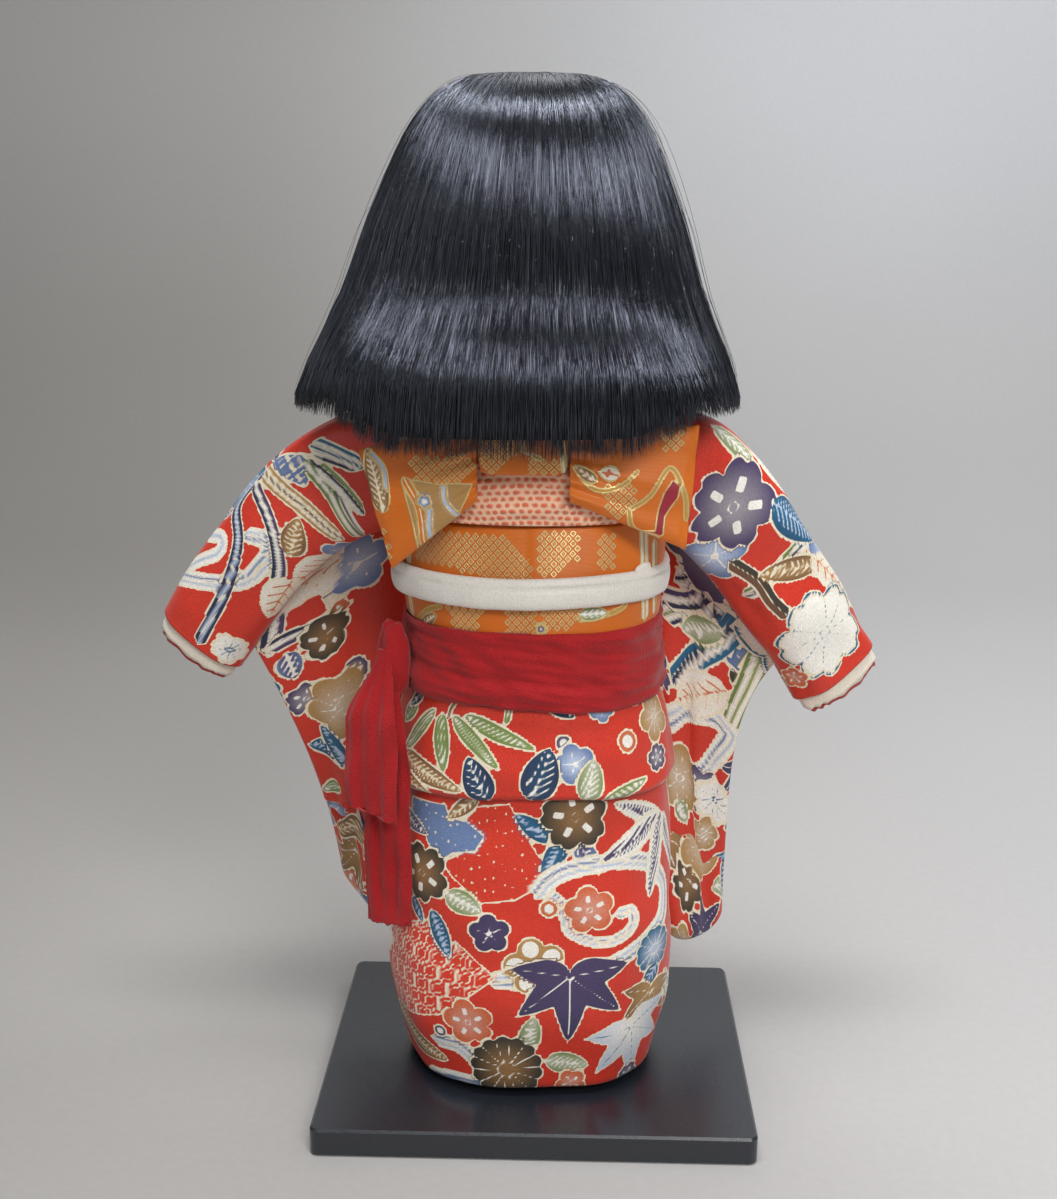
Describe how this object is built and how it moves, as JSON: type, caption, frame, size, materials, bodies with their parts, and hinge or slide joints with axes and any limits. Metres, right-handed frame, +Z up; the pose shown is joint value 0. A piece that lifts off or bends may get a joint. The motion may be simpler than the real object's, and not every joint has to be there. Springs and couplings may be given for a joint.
{
  "type": "ichimatsu doll",
  "caption": "Standing ichimatsu doll in a long-sleeved silk kimono with an obi bow, lifting off the post of a black lacquered board.",
  "frame": {"origin": "centre of the board's underside", "axes": "+Z up, the doll faces -Y, its left hand is on the +X side"},
  "size_m": [0.2889, 0.134, 0.3958],
  "materials": {
    "lacquer": "satin black lacquer",
    "post_wood": "plain",
    "screw_steel": "zinc plated",
    "composition": "moulded sawdust composition",
    "cotton": "cotton cloth and wadding",
    "shell_white": "polished shell-white paint on composition",
    "eye_glass": "polished dark glass",
    "hair_fibre": "glossy straight black fibre",
    "tabi_cotton": "cotton",
    "zori_cover": "covered in silk",
    "under_silk": "plain silk",
    "kimono_silk": "crepe silk with printed flowers",
    "white_silk": "silk",
    "lining_silk": "ivory silk",
    "obi_brocade": "brocade with gold thread",
    "scarf_silk": "tie-dyed silk",
    "cord_silk": "padded white silk",
    "sash_crepe": "crimson crepe",
    "fan_paper": "gilded paper"
  },
  "bodies": {
    "stand": {"base_board": "lacquer", "support_post": "post_wood", "post_screw": "screw_steel"},
    "figure": {"torso": "composition", "waist_padding": "cotton", "left_thigh": "shell_white", "right_thigh": "shell_white", "left_lower_leg": "shell_white", "right_lower_leg": "shell_white", "left_tabi": "tabi_cotton", "right_tabi": "tabi_cotton", "left_zori_sole": "zori_cover", "right_zori_sole": "zori_cover", "left_zori_strap": "zori_cover", "right_zori_strap": "zori_cover", "under_kimono": "under_silk", "kimono_skirt": "kimono_silk", "kimono_waist_fold": "kimono_silk", "kimono_bodice": "kimono_silk", "under_collar": "white_silk", "kimono_collar": "kimono_silk", "obi_band": "obi_brocade", "bow_pillow": "cotton", "obi_scarf": "scarf_silk", "obi_cord": "cord_silk", "sash_band": "sash_crepe", "sash_knot": "sash_crepe", "sash_long_end": "sash_crepe", "sash_short_end": "sash_crepe", "obi_bow_knot": "obi_brocade", "obi_bow_left": "obi_brocade", "obi_bow_right": "obi_brocade"},
    "head": {"head": "shell_white", "left_eye": "eye_glass", "right_eye": "eye_glass", "hair": "hair_fibre", "hair_fringe": "hair_fibre"},
    "left_arm": {"left_sleeve": "kimono_silk", "left_sleeve_lining": "lining_silk", "left_upper_arm": "cotton", "left_forearm": "shell_white"},
    "right_arm": {"right_sleeve": "kimono_silk", "right_sleeve_lining": "lining_silk", "right_upper_arm": "cotton", "right_forearm": "shell_white"},
    "fan": {"hand_fan": "fan_paper"}
  },
  "joints": [
    {"name": "doll_lift", "type": "slide", "parent": "stand", "child": "figure", "axis": [0, 0, 1], "range_m": [0, 0.18]},
    {"name": "head_turn", "type": "hinge", "parent": "figure", "child": "head", "pos_m": [0.004, 0.005, 0.28], "axis": [0, 0, 1], "range_deg": [-7, 7]},
    {"name": "left_arm_raise", "type": "hinge", "parent": "figure", "child": "left_arm", "pos_m": [0.0535, 0.003, 0.2795], "axis": [0, -1, 0], "range_deg": [0, 14]},
    {"name": "right_arm_raise", "type": "hinge", "parent": "figure", "child": "right_arm", "pos_m": [-0.0485, 0.003, 0.2795], "axis": [0, 1, 0], "range_deg": [0, 18]},
    {"name": "fan_pull", "type": "slide", "parent": "figure", "child": "fan", "axis": [0, 0.0118, 0.9999], "range_m": [0, 0.03]}
  ]
}
